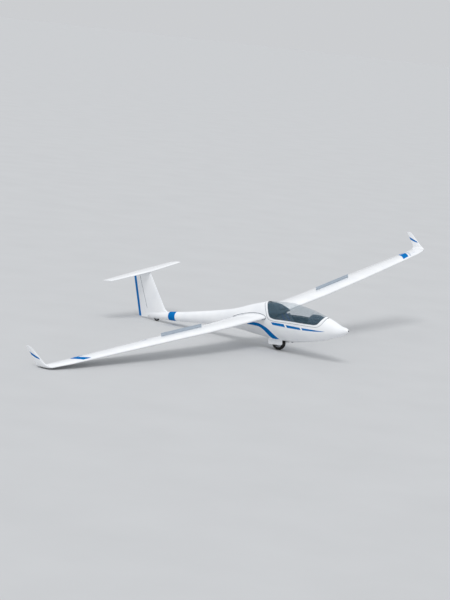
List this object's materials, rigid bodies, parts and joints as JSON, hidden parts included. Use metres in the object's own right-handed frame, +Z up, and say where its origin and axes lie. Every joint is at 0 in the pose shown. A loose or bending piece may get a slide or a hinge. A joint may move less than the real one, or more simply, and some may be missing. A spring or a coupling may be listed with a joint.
{
  "type": "single-seat sailplane glider",
  "caption": "Single-seat sailplane with long tapered wings, winglets, T tail, raised airbrakes, hinged canopy and fixed-down main wheel, parked leaning on one wing tip.",
  "frame": {"origin": "on the floor, under the centre of the bounding box", "axes": "+Z up from the floor, +X towards the raised port wing tip, nose towards -Y; the aircraft itself is pitched nose up and rolled to starboard as it parks"},
  "size_m": [14.9454, 6.8584, 2.6006],
  "materials": {
    "gelcoat": "polished white gelcoat",
    "canopy_glass": "clear tinted acrylic",
    "tyre": "worn black rubber",
    "skid_rubber": "matt black",
    "steel": "grey enamel",
    "wheel_alloy": "turned",
    "brake_grey": "anodised grey",
    "cockpit_trim": "fine grained",
    "upholstery": "woven"
  },
  "bodies": {
    "airframe": {"airbrake_lever": "steel", "canopy_hinge": "steel", "console_left": "cockpit_trim", "console_right": "cockpit_trim", "control_stick": "cockpit_trim", "fin": "gelcoat", "fuselage": "gelcoat", "gear_door_left": "gelcoat", "gear_door_right": "gelcoat", "gear_fork": "steel", "headrest": "upholstery", "instrument_hood": "cockpit_trim", "main_axle": "steel", "pedestal": "cockpit_trim", "rear_shelf": "cockpit_trim", "rudder_pedals": "steel", "seat_pan": "upholstery", "stabilizer": "gelcoat", "tail_axle": "steel", "tip_skid_left": "skid_rubber", "tip_skid_right": "skid_rubber", "tow_hook": "steel", "wing_left": "gelcoat", "wing_right": "gelcoat", "winglet_left": "gelcoat", "winglet_right": "gelcoat"},
    "canopy": {"canopy_frame": "gelcoat", "canopy_glass": "canopy_glass"},
    "aileron_left": {"aileron_left": "gelcoat"},
    "aileron_right": {"aileron_right": "gelcoat"},
    "airbrake_left": {"airbrake_left": "brake_grey"},
    "airbrake_right": {"airbrake_right": "brake_grey"},
    "rudder": {"rudder": "gelcoat"},
    "elevator": {"elevator": "gelcoat"},
    "main_wheel": {"main_tyre": "tyre", "main_hub": "wheel_alloy"},
    "tail_wheel": {"tail_tyre": "tyre", "tail_hub": "wheel_alloy"}
  },
  "joints": [
    {"name": "canopy_hinge", "type": "hinge", "parent": "airframe", "child": "canopy", "pos_m": [0.0578, -2.8195, 1.07026], "axis": [0.9898, 0, 0.1426], "range_deg": [0, 50]},
    {"name": "aileron_left", "type": "hinge", "parent": "airframe", "child": "aileron_left", "pos_m": [4.13, -0.58093, 1.55708], "axis": [0.9836, 0.0275, 0.1785], "range_deg": [-20, 20]},
    {"name": "aileron_right", "type": "hinge", "parent": "airframe", "child": "aileron_right", "pos_m": [-3.98614, -0.58093, 0.38738], "axis": [-0.9939, 0.0275, -0.1065], "range_deg": [-20, 20]},
    {"name": "rudder", "type": "hinge", "parent": "airframe", "child": "rudder", "pos_m": [0.20313, 2.91272, 0.06187], "axis": [-0.1366, 0.2885, 0.9477], "range_deg": [-30, 30]},
    {"name": "elevator", "type": "hinge", "parent": "airframe", "child": "elevator", "pos_m": [0.03453, 3.19425, 1.2317], "axis": [0.9898, 0, 0.1426], "range_deg": [-20, 20]},
    {"name": "airbrake_left", "type": "slide", "parent": "airframe", "child": "airbrake_left", "axis": [-0.1933, 0.1261, 0.973], "range_m": [-0.08, 0]},
    {"name": "airbrake_right", "type": "slide", "parent": "airframe", "child": "airbrake_right", "axis": [-0.0893, 0.1261, 0.988], "range_m": [-0.08, 0]},
    {"name": "main_wheel", "type": "hinge", "parent": "airframe", "child": "main_wheel", "pos_m": [0.18608, -1.35133, 0.18015], "axis": [0.9898, 0, 0.1426], "continuous": true},
    {"name": "tail_wheel", "type": "hinge", "parent": "airframe", "child": "tail_wheel", "pos_m": [0.19987, 2.63841, 0.08447], "axis": [0.9898, 0, 0.1426], "continuous": true}
  ],
  "couplings": [
    {"joint": "aileron_right", "follows": "aileron_left", "ratio": 1},
    {"joint": "airbrake_right", "follows": "airbrake_left", "ratio": 1}
  ]
}
